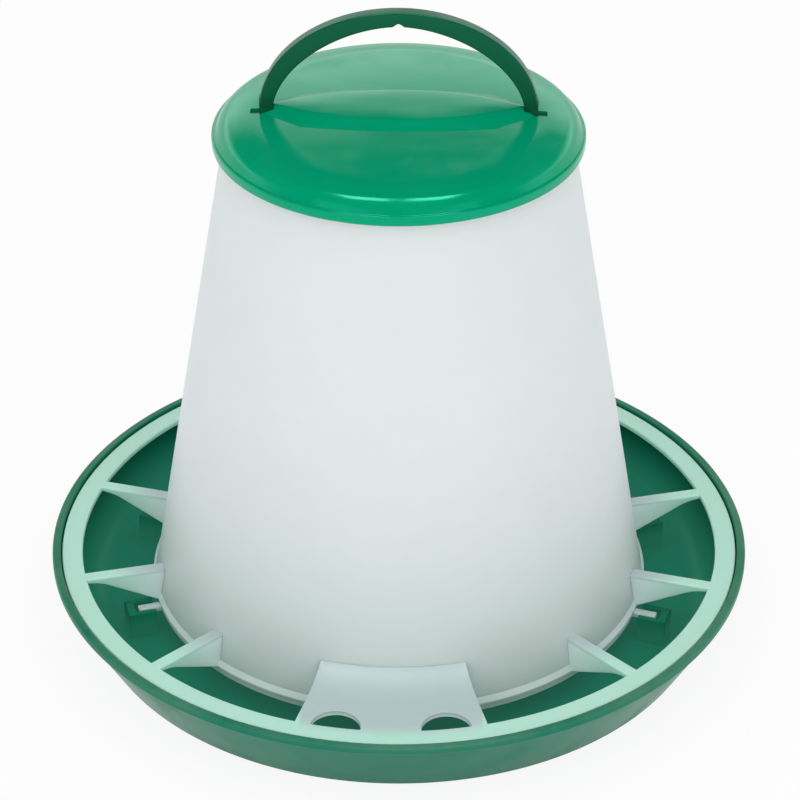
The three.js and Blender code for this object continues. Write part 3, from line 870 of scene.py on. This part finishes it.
class FEEDER_OT_lid(bpy.types.Operator):
    """Models the lid: domed cap, shoulder, flange, plug ring, eye-shaped boss and two slots"""

    bl_idname = "feeder.make_lid"
    bl_label = "Make Lid"

    def execute(self, context):
        lid = context.scene.feeder_lid
        handle = context.scene.feeder_handle
        hopper = context.scene.feeder_hopper
        top_z = lid.top_height
        seat_z = HOPPER_HIGH.z + SEAT_GAP
        side_z = top_z - lid.shoulder_drop
        skirt_z = side_z - lid.side_height
        flange_z = skirt_z + lid.flange_height
        side_foot = lid.radius - lid.flange_width
        side_top = side_foot - lid.side_lean
        shoulder = side_top - lid.shoulder_width
        plug_outer = hopper.top_radius - hopper.wall - lid.plug_slack
        plug_inner = plug_outer - lid.plug_wall
        plug_z = seat_z - lid.plug_depth
        edge = 0.8 * MM
        shoulder_round = 4 * MM
        side_round = 3 * MM
        dome_steps = 16
        radii = [shoulder * (1 - index / dome_steps) for index in range(dome_steps + 1)]
        dome = [(radius, dome_height(lid, radius)) for radius in radii]
        cap = turned([
            (0, top_z - lid.wall),
            (shoulder - lid.wall, top_z - lid.wall - lid.dome_drop, edge),
            (plug_inner, seat_z + lid.wall / 2, edge),
            (plug_inner, plug_z, edge / 2),
            (plug_outer, plug_z, edge),
            (plug_outer, seat_z),
            (side_top - lid.side_wall, seat_z, edge / 2),
            (side_foot - lid.side_wall, skirt_z, edge / 3),
            (lid.radius, skirt_z, edge),
            (lid.radius, flange_z, edge),
            (side_foot, flange_z, edge / 2),
            (side_top, side_z, side_round),
            (*dome[0], shoulder_round),
            *dome[1:],
        ])
        combine(cap, [self.make_boss(lid, handle)], "UNION")
        leg_outer = handle.span / 2
        leg_inner = leg_outer - handle.strap
        slot_inner = leg_inner - handle.slack
        slot_outer = leg_outer + handle.clip_reach + 0.7 * MM
        slot_half = handle.clip_depth / 2 + handle.slack
        slot_z = top_z - 8 * MM
        recess_outer = leg_outer + handle.slack
        recess_half = handle.foot_depth / 2 + handle.slack
        recess_z = dome_height(lid, leg_outer) - 0.2 * MM
        over_z = LID_HIGH.z + OVERRUN
        slot = block((slot_inner, -slot_half, slot_z), (slot_outer, slot_half, over_z))
        recess = block((slot_inner, -recess_half, recess_z), (recess_outer, recess_half, over_z))
        combine(cap, spread(slot, SIDES) + spread(recess, SIDES), "DIFFERENCE")
        self.sharpen_foot(cap)

        def wear(graph, x, z, radius):
            return graph.ramp(radius, lid.radius - edge, lid.radius) * 0.3

        material = moulded_plastic("lid plastic", lid, lid.colour, wear, lid.worn, sockets=GREEN_GLOSS)
        finish_piece(cap, "lid_moulding", material, "lid", "lid")
        return {"FINISHED"}

    def make_boss(self, lid, handle):
        """The boss: its foot line follows the dome, bridged down into the lid and up to its top."""
        foot_half = handle.span / 2 + lid.boss_margin
        top_half = foot_half - lid.boss_taper
        top_z = lid.top_height + lid.boss_rise
        root_z = lid.top_height - 0.9 * lid.wall
        knee = lid.boss_knee / foot_half
        end_steps, middle_steps = 3, 24
        ends = [1 - (1 - knee) * index / end_steps for index in range(end_steps)]
        middle = [knee * (1 - 2 * index / middle_steps) for index in range(middle_steps + 1)]
        foot, top = [], []
        for part in ends + middle + [-part for part in reversed(ends)]:
            foot.append((part * foot_half, self.foot_width_at(lid, foot_half, part * foot_half)))
            across = part * top_half
            top.append((across, arc_height(across, top_half, 0, lid.boss_top_width / 2)))
        foot += [(x, -y) for x, y in reversed(foot[1:-1])]
        top += [(x, -y) for x, y in reversed(top[1:-1])]
        loops = [
            [(x, y, root_z) for x, y in foot],
            [(x, y, dome_height(lid, math.hypot(x, y)) - MERGE) for x, y in foot],
        ]
        heights = []
        for part in (1, 2 / 3, 1 / 3):
            heights.append(top_z - lid.boss_crown * part ** 2)
            loops.append([(x * part, y * part, heights[-1]) for x, y in top])
        wires = [settle(draw_line(loop + loop[:1])) for loop in loops]
        pick(wires[0])
        for wire in wires[1:]:
            wire.select_set(True)
        bpy.ops.object.join()
        boss = bpy.context.object
        bpy.ops.object.mode_set(mode="EDIT")
        near = 3 * MERGE
        bridges = [(root_z, heights[0] - near), (root_z + near, heights[0]), heights[:2], heights[1:]]
        for low, high in bridges:
            select_between(boss, low, high)
            bpy.ops.mesh.bridge_edge_loops()
        for height in (root_z, heights[2]):
            select_between(boss, height, height)
            bpy.ops.mesh.edge_face_add()
        face_outward()
        select_between(boss, heights[0], heights[0])
        bpy.ops.mesh.bevel(offset=1.1 * MM, segments=EDGE_STEPS, affect="EDGES", clamp_overlap=False)
        return settle(boss)

    def sharpen_foot(self, cap):
        """Marks the line where the boss leaves the dome as sharp."""
        level, steep = 0.9985, 0.97

        def at_foot(edge):
            rises = [face.normal.z for face in edge.link_faces]
            return len(rises) == 2 and max(rises) > level and 0 < min(rises) < steep

        pick(cap)
        bpy.ops.object.mode_set(mode="EDIT")
        select_by(cap, at_foot, "edges")
        bpy.ops.mesh.mark_sharp()
        settle(cap)

    def foot_width_at(self, lid, foot_half, across):
        """Half the width of the boss's foot: an arc between the knees and straight beyond them."""
        knee_y = lid.boss_knee_width / 2
        if abs(across) > lid.boss_knee:
            return knee_y * (foot_half - abs(across)) / (foot_half - lid.boss_knee)
        return arc_height(across, lid.boss_knee, knee_y, lid.boss_foot_width / 2)


class FEEDER_OT_handle(bpy.types.Operator):
    """Models the handle: arched strap with a hanging notch and two clips"""

    bl_idname = "feeder.make_handle"
    bl_label = "Make Handle"

    def execute(self, context):
        handle = context.scene.feeder_handle
        lid = context.scene.feeder_lid
        foot_z = HANDLE_HIGH.z - handle.rise
        outer_half = handle.span / 2
        inner_half = outer_half - handle.strap
        inner_rise = handle.rise - handle.crown
        outer = [(x, foot_z + z) for x, z in arch(outer_half, handle.rise, handle.arch_power)]
        inner = [(x, foot_z + z) for x, z in arch(inner_half, inner_rise, handle.haunch_power)]
        half_notch = handle.notch_width / 2
        sides = [point for point in inner if point[0] > half_notch]
        crown_z = foot_z + inner_rise
        mouth_z = crown_z - 0.1 * MM
        line = [
            *outer,
            *[(-x, z) for x, z in reversed(outer[:-1])],
            *[(-x, z) for x, z in sides],
            (-half_notch, mouth_z),
            (0, crown_z + handle.notch_depth, 0.8 * MM),
            (half_notch, mouth_z),
            *reversed(sides),
        ]
        strap = plate(line, handle.depth, handle.edge_round)
        self.thin_feet(strap, handle, foot_z)
        hook = outer_half + handle.clip_reach
        clip_top = dome_height(lid, hook) - lid.wall - SEAT_GAP
        clip_low = clip_top - handle.clip_height
        clip = plate([
            (inner_half, clip_low),
            (outer_half, clip_low),
            (hook, clip_top - handle.clip_height / 2),
            (hook, clip_top),
            (outer_half, clip_top),
            (outer_half, foot_z + handle.strap),
            (inner_half, foot_z + handle.strap),
        ], handle.clip_depth, 0.4 * MM)
        combine(strap, spread(clip, SIDES), "UNION")

        # The top of the arch pales towards the worn colour: rubbed wear and painted light on the upward
        # face.
        def wear(graph, x, z, radius):
            return graph.ramp(z, crown_z, HANDLE_HIGH.z) * 0.12

        material = moulded_plastic(
            "handle plastic", handle, handle.colour, wear, handle.worn, sockets=GREEN_GLOSS
        )
        finish_piece(strap, "handle_moulding", material, "handle", "lid")
        return {"FINISHED"}

    def thin_feet(self, strap, handle, foot_z):
        """Thins the strap along Y towards its feet, in a few cuts."""
        pick(strap)
        bpy.ops.object.mode_set(mode="EDIT")
        cuts = 5
        for index in range(1, cuts + 1):
            bpy.ops.mesh.select_all(action="SELECT")
            height = foot_z + handle.foot_taper * index / cuts
            bpy.ops.mesh.bisect(plane_co=(0, 0, height), plane_no=(0, 0, 1))
        thinner = 1 - handle.foot_depth / handle.depth
        shape = bmesh.from_edit_mesh(strap.data)
        for height in sorted({round(vertex.co.z, 6) for vertex in shape.verts}):
            part = (height - foot_z) / handle.foot_taper
            if part > 1 - MERGE:
                break
            part = max(0, part)
            ease = part ** 2 * (3 - 2 * part)
            select_by(strap, lambda vertex: abs(vertex.co.z - height) < MERGE / 10)
            keep = 1 - thinner * (1 - ease)
            bpy.ops.transform.resize(value=(1, keep, 1), center_override=(0, 0, height))
        settle(strap)


class FEEDER_OT_stage(bpy.types.Operator):
    """Sets up the floor, the studio light and the camera"""

    bl_idname = "feeder.make_stage"
    bl_label = "Make Stage"

    def execute(self, context):
        stage = context.scene.feeder_stage
        context.scene.view_settings.view_transform = "Standard"
        clear_selection()
        bpy.ops.mesh.primitive_plane_add(size=stage.floor_size)
        floor = bpy.context.object
        floor.name = "floor"
        floor.data.materials.append(self.floor_material(stage))
        self.light_world(context, stage)
        side, front, height = 0.66, -1.3, 0.8
        front_size = (1.2, 0.6)
        self.lamp("front lamp right", (side, front, height), front_size, stage.lamp_watts)
        self.lamp("front lamp left", (-side, front, height), front_size, stage.lamp_watts)
        self.lamp("top lamp", (0, -0.5, 1.9), (1.6, 1.2), stage.top_watts)
        lens = bpy.data.cameras.new("camera")
        lens.lens = stage.camera_lens
        lens.sensor_width = SENSOR_WIDTH
        camera = bpy.data.objects.new("camera", lens)
        camera.location = stage.camera_place
        camera.rotation_euler = (stage.camera_tilt, 0, stage.camera_turn)
        context.scene.collection.objects.link(camera)
        context.scene.camera = camera
        return {"FINISHED"}

    def floor_material(self, stage):
        """A floor that stays white for the camera and in reflections, and keeps the shadow."""
        material = bpy.data.materials.new("floor")
        material.use_nodes = True
        graph = Graph(material.node_tree)
        paint = graph.node("ShaderNodeBsdfDiffuse", inputs={"Color": opaque(stage.floor_colour)})
        glow = graph.node("ShaderNodeEmission", inputs={"Color": (1, 1, 1, 1), "Strength": 1.0})
        rays = graph.ray("Camera") + graph.ray("Glossy") + graph.ray("Transmission")
        seen = rays.math("MINIMUM", 1.0) * stage.floor_glow
        surface = graph.node("ShaderNodeMixShader", inputs={0: seen, 1: paint, 2: glow})
        graph.node("ShaderNodeOutputMaterial", inputs={"Surface": surface})
        return material

    def light_world(self, context, stage):
        """Even light. Reflections see a pale board low down behind and two windows overhead."""
        world = bpy.data.worlds.new("studio")
        context.scene.world = world
        world.use_nodes = True
        graph = Graph(world.node_tree)
        x, away, up = graph.parts(graph.node("ShaderNodeTexCoord", output="Generated"))
        across = x.math("ABSOLUTE")
        low = up - graph.ramp(across, 0.028, 0.05) * 0.018
        board = (1 - graph.ramp(low, 0.444, 0.464)) * 1.05
        board_foot = (1 - graph.ramp(low, 0.365, 0.415)) * graph.ramp(up, 0.2, 0.34) * 1.1
        behind = graph.ramp(away, -0.3, 0.2)
        panes = graph.ramp(across, 0.03, 0.06) * (1 - graph.ramp(across, 0.27, 0.33))
        panes = panes * graph.ramp(away, -0.2, -0.12) * (1 - graph.ramp(away, 0.11, 0.17))
        windows = panes * graph.ramp(up, 0.8, 0.9) * stage.window_level
        reflected = (board + board_foot) * behind + windows
        camera, glossy = graph.ray("Camera"), graph.ray("Glossy")
        level = camera + glossy * reflected + (1 - camera - glossy) * stage.sky_level
        light = graph.node("ShaderNodeBackground", inputs={"Color": (1, 1, 1, 1), "Strength": level})
        graph.node("ShaderNodeOutputWorld", inputs={"Surface": light})

    def lamp(self, name, place, size, watts):
        """A soft rectangular lamp aimed at the part."""
        data = bpy.data.lights.new(name, "AREA")
        data.shape = "RECTANGLE"
        data.size, data.size_y = size
        data.energy = watts
        lamp = bpy.data.objects.new(name, data)
        lamp.location = place
        lamp.rotation_euler = (LAMP_TARGET - Vector(place)).to_track_quat("-Z", "Y").to_euler()
        bpy.context.scene.collection.objects.link(lamp)


class FEEDER_PT_panel(bpy.types.Panel):
    """Lists the feeder's pieces and their settings"""

    bl_idname = "FEEDER_PT_panel"
    bl_label = "Lidded Feeder"
    bl_space_type = "VIEW_3D"
    bl_region_type = "UI"
    bl_category = "Feeder"

    def draw(self, context):
        for operator, name, group in PARTS:
            box = self.layout.box()
            box.operator(operator.bl_idname)
            for setting in group.__annotations__:
                box.prop(getattr(context.scene, name), setting)


PARTS = [
    (FEEDER_OT_pan, "feeder_pan", PanSettings),
    (FEEDER_OT_hopper, "feeder_hopper", HopperSettings),
    (FEEDER_OT_grid, "feeder_grid", GridSettings),
    (FEEDER_OT_lid, "feeder_lid", LidSettings),
    (FEEDER_OT_handle, "feeder_handle", HandleSettings),
    (FEEDER_OT_stage, "feeder_stage", StageSettings),
]
OPERATORS, NAMES, GROUPS = zip(*PARTS)
CLASSES = [*GROUPS, *OPERATORS, FEEDER_PT_panel]


def register():
    """Registers the classes and hangs their settings on the scene."""
    for cls in CLASSES:
        bpy.utils.register_class(cls)
    for name, group in zip(NAMES, GROUPS):
        setattr(bpy.types.Scene, name, PointerProperty(type=group))


def unregister():
    """Takes the settings and the classes away again."""
    for name in NAMES:
        delattr(bpy.types.Scene, name)
    for cls in reversed(CLASSES):
        bpy.utils.unregister_class(cls)


def main():
    """Makes the pieces and the stage in order."""
    register()
    bpy.ops.feeder.make_pan()
    bpy.ops.feeder.make_hopper()
    bpy.ops.feeder.make_grid()
    bpy.ops.feeder.make_lid()
    bpy.ops.feeder.make_handle()
    bpy.ops.feeder.make_stage()


if __name__ == "__main__":
    main()
